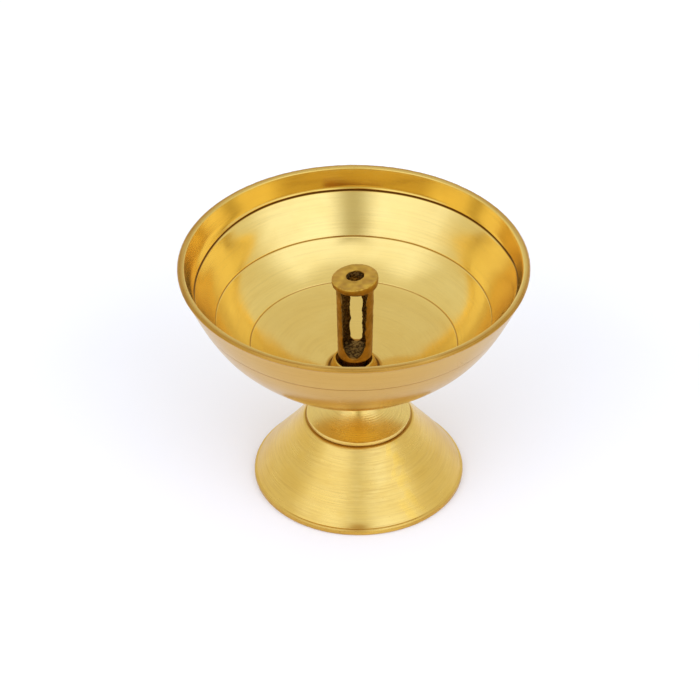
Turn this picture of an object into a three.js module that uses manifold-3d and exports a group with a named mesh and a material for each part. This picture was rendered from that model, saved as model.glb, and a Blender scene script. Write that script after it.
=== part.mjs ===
// Brass oil lamp on a flared foot, with a lift-out wick holder.
// Millimetres, +Z up. The origin is on the bowl's axis, on the surface the foot stands on.
import * as THREE from 'three';
import { mergeVertices } from 'three/addons/utils/BufferGeometryUtils.js';
import Module from 'manifold-3d';

const wasm = await Module();
wasm.setup();

// ---------------------------------------------------------------- driving dimensions

const rimRadius = 43.0;
const rimTop = 64.6;
const rimWidth = 1.55;
const rimChamfer = 0.25;
const lipHeight = 1.1;
const lipOverhang = 0.3;
const bandBottomRadius = 39.55;
const bandBottom = 59.3;
const stepRadius = 38.85;
const stepHeight = 58.9;
const bowlFloor = 33.0;
const bowlSeat = 31.7;
const bowlSeatRadius = 12.0;
const bowlHoleRadius = 4.2;

// The neck and foot are clamped a little off the bowl's axis, within their bore clearance.
const footShift = 1.14;

const neckFlangeRadius = 13.04;
const neckFlangeHeight = 1.2;
const neckWaistRadius = 5.75;
const neckWaistHeight = 24.8;
const neckTopRadius = 10.4;
const neckTopHeight = 1.0;
const neckPocketRadius = 5.6;
const neckPocketFloor = 27.0;

const footHeight = 17.7;
const footTopRadius = 13.7;
const footBaseRadius = 26.45;
const footBandHeight = 1.6;
const footWall = 1.5;
const footRestWidth = 1.9;
const footPlate = 1.6;
const footBossRadius = 8.6;
const footBossDrop = 1.9;
const footBoreRadius = 4.1;

const socketRadius = 5.84;
const socketTop = 35.8;
const socketMouthRadius = 4.5;
const socketHoleRadius = 3.12;
const socketHoleFloor = 31.0;
const socketShankRadius = 4.0;
const socketShankEnd = 27.6;

const headTop = 60.2;
const headRadius = 5.72;
const headHeight = 2.0;
const tubeTopRadius = 4.65;
const tubeBottomRadius = 4.25;
const tubeBottom = 36.9;
const tubeBore = 3.35;
const tubeFloor = 38.2;
const spigotRadius = 2.95;
const wickHoleRadius = 2.2;
const wickHoleShift = 0.75;
const frontSlotTopWidth = 6.6;
const frontSlotBottomWidth = 5.4;
const backSlotWidth = 3.0;
const backSlotTop = 56.0;
const slotTurn = THREE.MathUtils.degToRad(-5.5);

const threadRadius = 2.5;
const threadClearance = 0.08;
const studTop = 30.2;
const studEnd = 7.8;
const washerRadius = 6.5;
const washerBore = 2.8;
const washerThickness = 1.0;
const nutAcrossFlats = 8.0;
const nutHeight = 4.0;

// ---------------------------------------------------------------- finishes

const brass = (color, roughness) => new THREE.MeshStandardMaterial({ color, roughness, metalness: 1 });
const finishes = {
  polished: brass(0xd9a530, 0.22),
  satin: brass(0xd1a65a, 0.38),
  cast: brass(0xb9741a, 0.5),
  turned: brass(0xcf9228, 0.3),
  fastener: brass(0xc89a3c, 0.4),
};

// ---------------------------------------------------------------- shape helpers

// Turns an outline of [radius, height] points about the Z axis.
function turned(outline, segments) {
  const points = outline.map(([radius, height]) => new THREE.Vector2(radius, height));
  const geometry = new THREE.LatheGeometry(points, segments);
  return geometry.rotateX(Math.PI / 2);
}

// A ring-shaped outline returns to its first point.
const closed = (outline) => [...outline, outline[0]];

// Points along a smooth curve through the given [radius, height] knots.
function smooth(knots, count) {
  const curve = new THREE.SplineCurve(knots.map(([radius, height]) => new THREE.Vector2(radius, height)));
  return curve.getPoints(count).map((point) => [point.x, point.y]);
}

function solid(geometry) {
  const bare = geometry.clone();
  bare.deleteAttribute('normal');
  bare.deleteAttribute('uv');
  const merged = mergeVertices(bare);
  return new wasm.Manifold(new wasm.Mesh({
    numProp: 3,
    vertProperties: new Float32Array(merged.attributes.position.array),
    triVerts: new Uint32Array(merged.index.array),
  }));
}

function geometryOf(manifold) {
  const mesh = manifold.getMesh();
  const geometry = new THREE.BufferGeometry();
  geometry.setAttribute('position', new THREE.BufferAttribute(mesh.vertProperties, 3));
  geometry.setIndex(new THREE.BufferAttribute(mesh.triVerts, 1));
  geometry.computeVertexNormals();
  return geometry;
}

function named(name, geometry, material) {
  const mesh = new THREE.Mesh(geometry, material);
  mesh.name = name;
  return mesh;
}

// ---------------------------------------------------------------- bowl

function makeBowl() {
  const band = [
    [rimRadius - rimWidth, rimTop],
    [rimRadius - rimWidth - rimChamfer, rimTop - rimChamfer],
    [40.48, 61.8],
    [bandBottomRadius, bandBottom],
  ];
  const inside = smooth([
    [stepRadius, stepHeight],
    [33.9, 48.55],
    [25.65, 40.4],
    [15.0, 35.1],
    [socketRadius + 0.6, bowlFloor],
  ], 11);
  const outside = smooth([
    [bowlSeatRadius, bowlSeat],
    [22.2, 36.55],
    [29.8, 42.5],
    [35.1, 48.5],
    [38.65, 54.5],
    [rimRadius - lipOverhang, rimTop - lipHeight],
  ], 12);
  const lip = [
    [rimRadius, rimTop - lipHeight + lipOverhang],
    [rimRadius, rimTop - 0.25],
    [rimRadius - 0.25, rimTop],
  ];
  const hole = [
    [bowlHoleRadius, bowlFloor],
    [bowlHoleRadius, bowlSeat],
  ];
  return turned(closed([...hole, ...outside, ...lip, ...band, ...inside]), 64);
}

// ---------------------------------------------------------------- wick socket

function makeSocket() {
  const threadHole = threadRadius + threadClearance;
  return turned([
    [0, studTop + 0.1],
    [threadHole, studTop + 0.1],
    [threadHole, socketShankEnd],
    [socketShankRadius, socketShankEnd],
    [socketShankRadius, bowlFloor],
    [socketRadius, bowlFloor],
    [socketRadius, bowlFloor + 0.5],
    [socketMouthRadius + 0.55, socketTop - 0.5],
    [socketMouthRadius + 0.3, socketTop],
    [socketMouthRadius, socketTop],
    [socketMouthRadius, socketTop - 0.5],
    [socketHoleRadius, socketTop - 1.9],
    [socketHoleRadius, socketHoleFloor],
    [0, socketHoleFloor],
  ], 36);
}

// ---------------------------------------------------------------- wick holder

// The front slot runs up to the head and narrows downwards to a round end.
function frontSlotOutline() {
  const outline = new THREE.Shape();
  const endRadius = frontSlotBottomWidth / 2;
  const top = headTop - headHeight - 0.2;
  outline.moveTo(-frontSlotTopWidth / 2, top);
  outline.lineTo(-endRadius, tubeFloor + endRadius);
  outline.absarc(0, tubeFloor + endRadius, endRadius, Math.PI, 2 * Math.PI, false);
  outline.lineTo(frontSlotTopWidth / 2, top);
  outline.closePath();
  return outline;
}

// The back slot is a window with round ends.
function backSlotOutline() {
  const outline = new THREE.Shape();
  const endRadius = backSlotWidth / 2;
  outline.absarc(0, backSlotTop - endRadius, endRadius, 0, Math.PI, false);
  outline.absarc(0, tubeFloor + endRadius, endRadius, Math.PI, 2 * Math.PI, false);
  outline.closePath();
  return outline;
}

// A slot's cutter reaches from the middle of the tube outwards, to the front (-1) or the back (+1).
function slotCutter(outline, direction) {
  const depth = tubeTopRadius + 1;
  const cutter = new THREE.ExtrudeGeometry(outline, { depth, bevelEnabled: false, curveSegments: 10 });
  cutter.rotateX(Math.PI / 2);
  if (direction > 0) {
    cutter.translate(0, depth, 0);
  }
  return solid(cutter);
}

function makeHolder() {
  const headBottom = headTop - headHeight;
  const body = solid(turned([
    [0, socketHoleFloor],
    [spigotRadius - 0.3, socketHoleFloor],
    [spigotRadius, socketHoleFloor + 0.3],
    [spigotRadius, tubeBottom],
    [tubeBottomRadius - 0.25, tubeBottom],
    [tubeBottomRadius, tubeBottom + 0.3],
    [tubeTopRadius, headBottom - 0.2],
    [headRadius - 0.35, headBottom + 0.25],
    [headRadius, headBottom + 0.65],
    [headRadius, headTop - 0.12],
    [headRadius - 0.12, headTop],
    [0, headTop],
  ], 40));
  const bore = solid(turned([
    [0, tubeFloor],
    [tubeBore, tubeFloor],
    [tubeBore, headBottom - 0.2],
    [0, headBottom - 0.2],
  ], 32));
  const wickHole = solid(turned([
    [0, headBottom - 1],
    [wickHoleRadius, headBottom - 1],
    [wickHoleRadius, headTop + 1],
    [0, headTop + 1],
  ], 32).translate(0, wickHoleShift, 0));
  const frontSlot = slotCutter(frontSlotOutline(), -1);
  const backSlot = slotCutter(backSlotOutline(), 1);
  const cut = body.subtract(bore).subtract(wickHole).subtract(frontSlot).subtract(backSlot);
  return geometryOf(cut);
}

// ---------------------------------------------------------------- neck

function makeNeck() {
  const bore = footBoreRadius;
  const flangeTop = footHeight + neckFlangeHeight;
  const spool = smooth([
    [neckFlangeRadius - 0.15, flangeTop],
    [9.0, 20.6],
    [7.2, 22.1],
    [6.1, 23.6],
    [neckWaistRadius, neckWaistHeight],
    [6.9, 27.2],
    [8.7, 29.4],
    [neckTopRadius, bowlSeat - neckTopHeight],
  ], 18);
  return turned(closed([
    [bore, neckPocketFloor],
    [bore, footHeight],
    [neckFlangeRadius, footHeight],
    [neckFlangeRadius, flangeTop - 0.15],
    ...spool,
    [neckTopRadius, bowlSeat],
    [neckPocketRadius, bowlSeat],
    [neckPocketRadius, neckPocketFloor],
  ]), 44);
}

// ---------------------------------------------------------------- foot

function makeFoot() {
  const flare = smooth([
    [footBaseRadius, footBandHeight],
    [23.5, 5.0],
    [18.75, 11.0],
    [footTopRadius, footHeight],
  ], 9);
  const plateBottom = footHeight - footPlate;
  const bossBottom = plateBottom - footBossDrop;
  const hollow = smooth([
    [footBossRadius + 1.2, plateBottom],
    [footTopRadius - 1.1, plateBottom - 1.2],
    [18.75 - footWall * 1.25, 11.0 - 0.3],
    [23.5 - footWall * 1.25, 5.0 - 0.3],
    [footBaseRadius - footRestWidth, 0.9],
  ], 9);
  return turned(closed([
    [footBoreRadius, footHeight],
    [footBoreRadius, bossBottom],
    [footBossRadius, bossBottom],
    [footBossRadius + 0.3, plateBottom - 0.6],
    ...hollow,
    [footBaseRadius - footRestWidth, 0],
    [footBaseRadius - 0.2, 0],
    [footBaseRadius, 0.2],
    ...flare,
  ]), 52);
}

// ---------------------------------------------------------------- fasteners

const washerTop = footHeight - footPlate - footBossDrop;
const nutTop = washerTop - washerThickness;

function makeStud() {
  return turned([
    [0, studEnd],
    [threadRadius - 0.4, studEnd],
    [threadRadius, studEnd + 0.4],
    [threadRadius, studTop - 0.4],
    [threadRadius - 0.4, studTop],
    [0, studTop],
  ], 32);
}

function makeWasher() {
  return turned(closed([
    [washerBore, washerTop],
    [washerBore, nutTop],
    [washerRadius - 0.15, nutTop],
    [washerRadius, nutTop + 0.15],
    [washerRadius, washerTop - 0.15],
    [washerRadius - 0.15, washerTop],
  ]), 40);
}

// A hexagon prism with chamfered corners and a round bore.
function makeNut() {
  const flatRadius = nutAcrossFlats / 2;
  const cornerRadius = flatRadius / Math.cos(Math.PI / 6);
  const nutBottom = nutTop - nutHeight;
  const prism = solid(turned([
    [0, nutBottom],
    [cornerRadius, nutBottom],
    [cornerRadius, nutTop],
    [0, nutTop],
  ], 6));
  const chamfer = solid(turned([
    [0, nutBottom],
    [flatRadius, nutBottom],
    [cornerRadius, nutBottom + 0.4],
    [cornerRadius + 0.1, nutBottom + 0.4],
    [cornerRadius + 0.1, nutTop - 0.4],
    [cornerRadius, nutTop - 0.4],
    [flatRadius, nutTop],
    [0, nutTop],
  ], 48));
  const threadHole = threadRadius + threadClearance;
  const bore = solid(turned([
    [0, nutBottom - 1],
    [threadHole, nutBottom - 1],
    [threadHole, nutTop + 1],
    [0, nutTop + 1],
  ], 48));
  return geometryOf(prism.intersect(chamfer).subtract(bore));
}

// ---------------------------------------------------------------- assembly

const lamp = new THREE.Group();
lamp.add(named('bowl', makeBowl(), finishes.polished));
lamp.add(named('wick_socket', makeSocket(), finishes.cast));

const holder = named('wick_holder', makeHolder(), finishes.cast);
holder.rotation.z = slotTurn;
lamp.add(holder);

const base = new THREE.Group();
base.position.x = footShift;
base.add(named('neck', makeNeck(), finishes.turned));
base.add(named('foot', makeFoot(), finishes.satin));
lamp.add(base);

lamp.add(named('tie_stud', makeStud(), finishes.fastener));
lamp.add(named('washer', makeWasher(), finishes.fastener));
lamp.add(named('nut', makeNut(), finishes.fastener));

export default lamp;
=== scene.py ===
import math

import bpy
import numpy as np
from bpy.props import FloatProperty, FloatVectorProperty, IntProperty, PointerProperty
from bpy.types import Operator, Panel, PropertyGroup
from mathutils import Matrix, Vector


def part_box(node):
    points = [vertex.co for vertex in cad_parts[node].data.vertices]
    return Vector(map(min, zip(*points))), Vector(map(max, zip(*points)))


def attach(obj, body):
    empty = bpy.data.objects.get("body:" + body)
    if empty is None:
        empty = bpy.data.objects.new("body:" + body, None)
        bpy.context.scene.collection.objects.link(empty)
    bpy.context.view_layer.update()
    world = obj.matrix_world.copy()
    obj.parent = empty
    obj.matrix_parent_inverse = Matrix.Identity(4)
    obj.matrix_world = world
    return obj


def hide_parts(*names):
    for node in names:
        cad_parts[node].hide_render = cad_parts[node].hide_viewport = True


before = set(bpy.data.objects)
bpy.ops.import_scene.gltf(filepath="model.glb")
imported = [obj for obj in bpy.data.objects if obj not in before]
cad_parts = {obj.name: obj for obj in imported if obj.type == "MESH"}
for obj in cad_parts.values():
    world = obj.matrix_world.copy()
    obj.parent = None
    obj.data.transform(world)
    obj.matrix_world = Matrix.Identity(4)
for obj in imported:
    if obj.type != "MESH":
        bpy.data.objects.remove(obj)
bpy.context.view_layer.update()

bl_info = {
    "name": "Brass oil lamp",
    "version": (1, 0, 0),
    "blender": (4, 5, 0),
    "location": "3D View > Sidebar > Oil Lamp",
    "description": "Builds a turned brass oil lamp with a cast wick holder around its packed frame",
    "category": "Add Mesh",
}

MM = 0.001


def top_of(node):
    """The highest point of a frame node, in millimetres."""
    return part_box(node)[1].z / MM


def foot_of(node):
    """The lowest point of a frame node, in millimetres."""
    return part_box(node)[0].z / MM


def reach_of(node):
    """Half a round node's width, in millimetres."""
    low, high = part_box(node)
    return (high.x - low.x) / 2 / MM


# ---------------------------------------------------------------- sizes in millimetres

RIM_RADIUS = reach_of("bowl")
RIM_TOP = top_of("bowl")
BOWL_SEAT = foot_of("bowl")
BOWL_FLOOR = 33.0
BOWL_SEAT_RADIUS = 12.0
BOWL_HOLE_RADIUS = 4.2
LIP_INSIDE = (41.28, 64.38)
INNER_BAND_EDGE = (41.3, 64.4)
WALL_TOP = (39.5, 58.85)
TOP_GROOVE = (39.53, 58.92)
MIDDLE_GROOVE = (33.9, 48.55)
LOW_GROOVE = (25.65, 40.4)
OUTER_LINE = (39.2, 55.8)
BELLY = (30.0, 42.7)

BASE_SHIFT = (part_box("foot")[0].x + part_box("foot")[1].x) / 2 / MM

NECK_FLANGE_RADIUS = reach_of("neck")
NECK_FLANGE_HEIGHT = 1.2
NECK_WAIST_RADIUS = 5.75
NECK_WAIST_HEIGHT = 24.8
NECK_TOP_RADIUS = 10.4
NECK_TOP_HEIGHT = 1.0
NECK_POCKET_RADIUS = 5.6
NECK_POCKET_FLOOR = 27.0

FOOT_TOP = top_of("foot")
FOOT_RADIUS = reach_of("foot")
FOOT_TOP_RADIUS = 13.7
FOOT_BAND = 1.6
FOOT_REST_WIDTH = 1.9
FOOT_PLATE = 1.6
FOOT_BOSS_RADIUS = 8.6
FOOT_BOSS_DROP = 1.9
FOOT_BORE_RADIUS = 4.1
FLARE_START = (FOOT_RADIUS - 0.62, FOOT_BAND + 0.22)

SOCKET_RADIUS = reach_of("wick_socket")
SOCKET_TOP = top_of("wick_socket")
SOCKET_SHANK_END = foot_of("wick_socket")
SOCKET_MOUTH_RADIUS = 4.5
SOCKET_HOLE_RADIUS = 3.12
SOCKET_HOLE_FLOOR = 31.0
SOCKET_SHANK_RADIUS = 4.0

HEAD_TOP = top_of("wick_holder")
HEAD_RADIUS = 5.72
HEAD_HEIGHT = 2.0
TUBE_TOP_RADIUS = 4.65
TUBE_BOTTOM_RADIUS = 4.25
TUBE_BOTTOM = 36.9
TUBE_BORE = 3.35
TUBE_FLOOR = 38.2
SPIGOT_RADIUS = 2.95
WICK_HOLE_RADIUS = 2.2
WICK_HOLE_SHIFT = 0.75
FRONT_SLOT = (6.6, 5.4)
BACK_SLOT = (3.0, 3.0)
BACK_SLOT_TOP = 56.0
SLOT_TURN = math.radians(-5.5)
TUBE_SHIFT = 0.3
CAST_VOXEL = 0.17

THREAD_RADIUS = reach_of("tie_stud")
THREAD_PITCH = 0.8
THREAD_DEPTH = 0.42
THREAD_CLEARANCE = 0.08
STUD_TOP = top_of("tie_stud")
STUD_END = foot_of("tie_stud")
WASHER_TOP = top_of("washer")
WASHER_RADIUS = reach_of("washer")
WASHER_BORE = 2.8
NUT_TOP = top_of("nut")
NUT_END = foot_of("nut")
NUT_FLATS = 8.0

# ---------------------------------------------------------------- camera and fills, in metres and degrees

CAMERA_LENS = 176.23
CAMERA_ELEVATION = 37.198
CAMERA_DISTANCE = 0.85
CAMERA_ROLL = -0.18793
CAMERA_TARGET = (-0.00096, 0.0, 0.038026)
FILL_AZIMUTH = 48
FILL_ELEVATION = 36
FILL_DISTANCE = 1.0
FILL_SIZE = (1.0, 0.7)
FLOOR_RADIUS = 4

# ---------------------------------------------------------------- fixed colours

# Tarnish colours, which also paint shade and shadows on the turned pieces.
TARNISH_AND_SHADE_BROWN = (0.50, 0.265, 0.042, 1.0)
TARNISH_AND_SHADE_DARK = (0.13, 0.045, 0.004, 1.0)
DRAWN_LINE = (0.46, 0.25, 0.055, 1.0)
# Crust colours, painted into the holder's hollows as shade with crust.
CRUST_AND_SHADE_DARK = (0.07, 0.035, 0.008, 1.0)
CRUST_PALE = (0.36, 0.23, 0.075, 1.0)
FLOOR_GREY = (0.93, 0.93, 0.93, 1.0)
FLOOR_WHITE = (0.95, 0.95, 0.95, 1.0)


# ---------------------------------------------------------------- settings

class LampSettings(PropertyGroup):
    """Sizes and colours that can be changed before the lamp is built."""

    groove_depth: FloatProperty(
        name="Groove depth", description="Depth of the top groove inside the bowl, in millimetres",
        default=0.24, min=0.05, max=0.4)
    groove_width: FloatProperty(
        name="Groove width", description="Half width of the top groove inside the bowl, in millimetres",
        default=0.17, min=0.05, max=0.4)
    bowl_waves: FloatProperty(
        name="Bowl waves", description="Height of the soft waves left by spinning, in millimetres",
        default=0.03, min=0.0, max=0.1)
    foot_chatter: FloatProperty(
        name="Foot chatter", description="Height of the turning ripples on the foot, in millimetres",
        default=0.02, min=0.0, max=0.1)
    cast_grain: FloatProperty(
        name="Cast grain", description="Height of the sand grain on the wick holder, in millimetres",
        default=0.05, min=0.0, max=0.2)
    segments: IntProperty(
        name="Segments", description="Steps round the bowl", default=360, min=48, max=420)
    bright_brass: FloatVectorProperty(
        name="Bright brass", description="Colour of the clean turned brass", subtype="COLOR",
        default=(0.87, 0.65, 0.195), min=0.0, max=1.0)
    deep_brass: FloatVectorProperty(
        name="Deep brass", description="Colour of the older, redder brass", subtype="COLOR",
        default=(0.80, 0.545, 0.12), min=0.0, max=1.0)
    # Golden brass also paints the reflections on the bowl, neck and foot, and the highlight on the holder's
    # head.
    golden_brass: FloatVectorProperty(
        name="Golden brass", description="Colour of the brass where it was polished hardest", subtype="COLOR",
        default=(0.89, 0.575, 0.08), min=0.0, max=1.0)
    cast_brass: FloatVectorProperty(
        name="Cast brass", description="Colour of the unpolished cast brass", subtype="COLOR",
        default=(0.46, 0.225, 0.035), min=0.0, max=1.0)
    softbox: FloatProperty(
        name="Softbox glow", description="Extra radiance of the two softboxes beside the camera",
        default=0.42, min=0.0, max=10.0)
    softbox_tint: FloatVectorProperty(
        name="Softbox tint", description="Blue tint of the softboxes' extra light", subtype="COLOR",
        default=(0.9, 1.15, 2.1), min=0.0, max=3.0)
    floor_fill: FloatProperty(
        name="Floor fill", description="Radiance of the two wide lights that reflections leave out",
        default=1.25, min=0.0, max=20.0)
    surroundings: FloatProperty(
        name="Surroundings", description="Radiance of the pale room", default=0.83, min=0.0, max=4.0)


# ---------------------------------------------------------------- outlines

def spline(knots, count):
    """A natural cubic curve through knots, spaced by chord length.

    The second derivatives at the knots solve the usual three-term equations, with none at the ends,
    so the curvature runs on without a step.
    """
    knots = np.asarray(knots, float)
    chord = np.linalg.norm(np.diff(knots, axis=0), axis=1)
    along = np.concatenate([[0.0], np.cumsum(chord)])
    size = len(knots)
    system = np.eye(size)
    right = np.zeros((size, 2))
    inner = np.arange(1, size - 1)
    system[inner, inner] = 2 * (chord[:-1] + chord[1:])
    system[inner, inner - 1] = chord[:-1]
    system[inner, inner + 1] = chord[1:]
    slope = np.diff(knots, axis=0) / chord[:, None]
    right[inner] = 6 * np.diff(slope, axis=0)
    bend = np.linalg.solve(system, right)
    at = np.linspace(0, along[-1], count)
    span = np.clip(np.searchsorted(along, at, side="right") - 1, 0, size - 2)
    width = chord[span][:, None]
    left = (at - along[span])[:, None]
    rest = width - left
    return ((bend[span] * rest ** 3 + bend[span + 1] * left ** 3) / (6 * width)
            + (knots[span] / width - bend[span] * width / 6) * rest
            + (knots[span + 1] / width - bend[span + 1] * width / 6) * left)


def softened(corners, radius, ring=False):
    """A chain of straight lines whose corners are replaced by short parabolas of the given reach."""
    corners = np.asarray(corners, float)
    before = np.roll(corners, 1, axis=0)
    after = np.roll(corners, -1, axis=0)
    to_before = before - corners
    to_after = after - corners
    len_before = np.maximum(np.linalg.norm(to_before, axis=1, keepdims=True), 1e-9)
    len_after = np.maximum(np.linalg.norm(to_after, axis=1, keepdims=True), 1e-9)
    start = corners + to_before / len_before * np.minimum(radius, len_before * 0.48)
    stop = corners + to_after / len_after * np.minimum(radius, len_after * 0.48)
    step = np.linspace(0, 1, 7)[None, :, None]
    curve = ((1 - step) ** 2 * start[:, None] + 2 * step * (1 - step) * corners[:, None]
             + step ** 2 * stop[:, None])
    if not ring:
        curve[0] = corners[0]
        curve[-1] = corners[-1]
    return curve.reshape(-1, 2)


class Outline:
    """A section of a turned piece, anticlockwise in radius and height, read by its arc length."""

    def __init__(self, points, ring):
        points = np.vstack([points, points[:1]]) if ring else np.asarray(points, float)
        step = np.linalg.norm(np.diff(points, axis=0), axis=1)
        keep = np.concatenate([[True], step > 1e-6])
        points = points[keep]
        step = np.linalg.norm(np.diff(points, axis=0), axis=1)
        along = np.concatenate([[0.0], np.cumsum(step)])
        self.ring = ring
        self.length = along[-1]
        self.table = np.linspace(0, self.length, max(int(self.length / 0.015), 400))
        self.radius = np.interp(self.table, along, points[:, 0])
        self.height = np.interp(self.table, along, points[:, 1])

    def at(self, along):
        """Radius and height at an arc length."""
        along = np.clip(along, 0, self.length)
        return np.interp(along, self.table, self.radius), np.interp(along, self.table, self.height)

    def normal(self, along):
        """The direction out of the metal: the tangent turned a quarter turn to the right."""
        reach = 0.05
        radius_a, height_a = self.at(along - reach)
        radius_b, height_b = self.at(along + reach)
        across, up = height_b - height_a, radius_a - radius_b
        size = np.maximum(np.hypot(across, up), 1e-9)
        return across / size, up / size

    def nearest(self, radius, height):
        """The arc length of the point nearest to a radius and height."""
        return self.table[np.argmin((self.radius - radius) ** 2 + (self.height - height) ** 2)]

    def rows(self, step, turn_degrees=10.0, marks=(), fine=0.06, reach=0.45):
        """Arc lengths for the grid's rows.

        Their density is one per step, plus one per turn_degrees of bend, plus close rows round each
        mark, so that lips and grooves are drawn and plain walls stay light.
        """
        spacing = self.table[1] - self.table[0]
        angle = np.unwrap(np.arctan2(np.gradient(self.height), np.gradient(self.radius)))
        bend = np.abs(np.gradient(angle)) / spacing
        blur = np.exp(-np.linspace(-2, 2, 21) ** 2)
        bend = np.convolve(bend, blur / blur.sum(), mode="same")
        density = 1 / step + np.minimum(bend / math.radians(turn_degrees), 14)
        for mark in marks:
            density = density + np.exp(-((self.table - mark) / reach) ** 4) / fine
        count = np.concatenate([[0.0], np.cumsum((density[1:] + density[:-1]) / 2 * spacing)])
        total = int(math.ceil(count[-1]))
        places = np.linspace(0, count[-1], total + 1)
        if self.ring:
            places = places[:-1]
        return np.interp(places, count, self.table)


def bell(offset, width, power=2):
    """One at no offset, falling to nothing beyond the width. A higher even power flattens its top."""
    return np.exp(-(offset / width) ** power)


def past(offset, sharpness):
    """A soft step from nothing, where the offset is negative, to one, where it is positive."""
    return 1 / (1 + np.exp(-offset * sharpness))


def ripple(seed, along, angle, wavelength, spokes, count=14):
    """Soft waves over a turned surface, about one unit high.

    Each is a cosine of whole turns round the axis plus a length along the section, with random
    turns, lengths and phases, and they are summed and scaled by the root of their number.
    """
    rng = np.random.default_rng(seed)
    total = np.zeros(np.broadcast(along, angle).shape)
    for _ in range(count):
        turns = rng.integers(1, spokes + 1)
        length = wavelength * rng.uniform(0.7, 1.8)
        lean = rng.choice([-1.0, 1.0])
        phase = rng.uniform(0, 2 * math.pi)
        total = total + np.cos(lean * turns * angle + 2 * math.pi * along / length + phase)
    return total / math.sqrt(count / 2)


def grain(seed, points, size, count=40):
    """Sand grain in space, about one unit high: a sum of plane waves in random directions."""
    rng = np.random.default_rng(seed)
    total = np.zeros(points.shape[:-1])
    for _ in range(count):
        direction = rng.normal(size=3)
        direction = direction / np.linalg.norm(direction)
        length = size * rng.uniform(0.6, 1.9)
        phase = rng.uniform(0, 2 * math.pi)
        total = total + np.cos(points @ direction * (2 * math.pi / length) + phase)
    return total / math.sqrt(count / 2)


# ---------------------------------------------------------------- meshes

def skin_faces(rows, columns, ring):
    """Quads over a grid that closes round the axis, and over its rows too where it is a ring."""
    index = np.arange(rows * columns).reshape(rows, columns)
    lower = index if ring else index[:-1]
    upper = np.roll(index, -1, axis=0) if ring else index[1:]
    quads = np.stack([lower, np.roll(lower, -1, axis=1), np.roll(upper, -1, axis=1), upper], axis=-1)
    faces = quads.reshape(-1, 4).tolist()
    if not ring:
        bottom, top = rows * columns, rows * columns + 1
        first, last = index[0], index[-1]
        fan = np.stack([np.full(columns, bottom), np.roll(first, -1), first], axis=-1)
        faces += fan.tolist()
        fan = np.stack([last, np.roll(last, -1), np.full(columns, top)], axis=-1)
        faces += fan.tolist()
    return faces


def turned(outline, rows, columns, shift=0.0, swell=None, finish=None, warp=None):
    """A turned skin: outline rows carried round the axis.

    A point is at the axis plus its radius along its angle, at its height, moved along the section's
    own normal by swell(along, angle). The rows may slide along the section by warp(along, angle).
    Returns the points in millimetres, the faces, the lathe coordinates and the finish weights.
    """
    angle = np.arange(columns)[None, :] * (2 * math.pi / columns)
    along = rows[:, None] + np.zeros_like(angle)
    place = along if warp is None else along + warp(along, angle)
    radius, height = outline.at(place)
    if swell is not None:
        out_radius, out_height = outline.normal(place)
        lift = swell(along, angle)
        radius = radius + out_radius * lift
        height = height + out_height * lift
    points = np.stack([radius * np.cos(angle), radius * np.sin(angle), height], axis=-1)
    lathe = np.stack([np.cos(angle) + 0 * along, np.sin(angle) + 0 * along, place], axis=-1)
    weights = np.zeros_like(lathe)
    if finish is not None:
        weights = np.stack(np.broadcast_arrays(*finish(along, angle)), axis=-1).astype(float)
    points = points.reshape(-1, 3)
    lathe = lathe.reshape(-1, 3)
    weights = weights.reshape(-1, 3)
    if not outline.ring:
        ends = np.array([[0, 0, outline.height[0]], [0, 0, outline.height[-1]]])
        points = np.vstack([points, ends])
        lathe = np.vstack([lathe, [[1, 0, 0], [1, 0, outline.length]]])
        weights = np.vstack([weights, weights[:1], weights[-1:]])
    points = points + np.array([shift, 0, 0])
    return points, skin_faces(len(rows), columns, outline.ring), lathe, weights


def piece(name, points, faces, material, node, body, lathe=None, weights=None):
    """Puts millimetre points into a named mesh in metres, and ties it to the frame."""
    mesh = bpy.data.meshes.new(name)
    mesh.from_pydata((points * MM).tolist(), [], faces)
    mesh.polygons.foreach_set("use_smooth", np.ones(len(mesh.polygons), bool))
    if lathe is not None:
        layer = mesh.attributes.new("lathe", "FLOAT_VECTOR", "POINT")
        layer.data.foreach_set("vector", lathe.astype(np.float32).ravel())
    if weights is not None:
        layer = mesh.attributes.new("finish", "FLOAT_VECTOR", "POINT")
        layer.data.foreach_set("vector", weights.astype(np.float32).ravel())
    mesh.materials.append(material)
    mesh.update()
    obj = bpy.data.objects.new(name, mesh)
    bpy.context.scene.collection.objects.link(obj)
    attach(obj, body)
    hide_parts(node)
    return obj


# ---------------------------------------------------------------- materials

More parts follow.
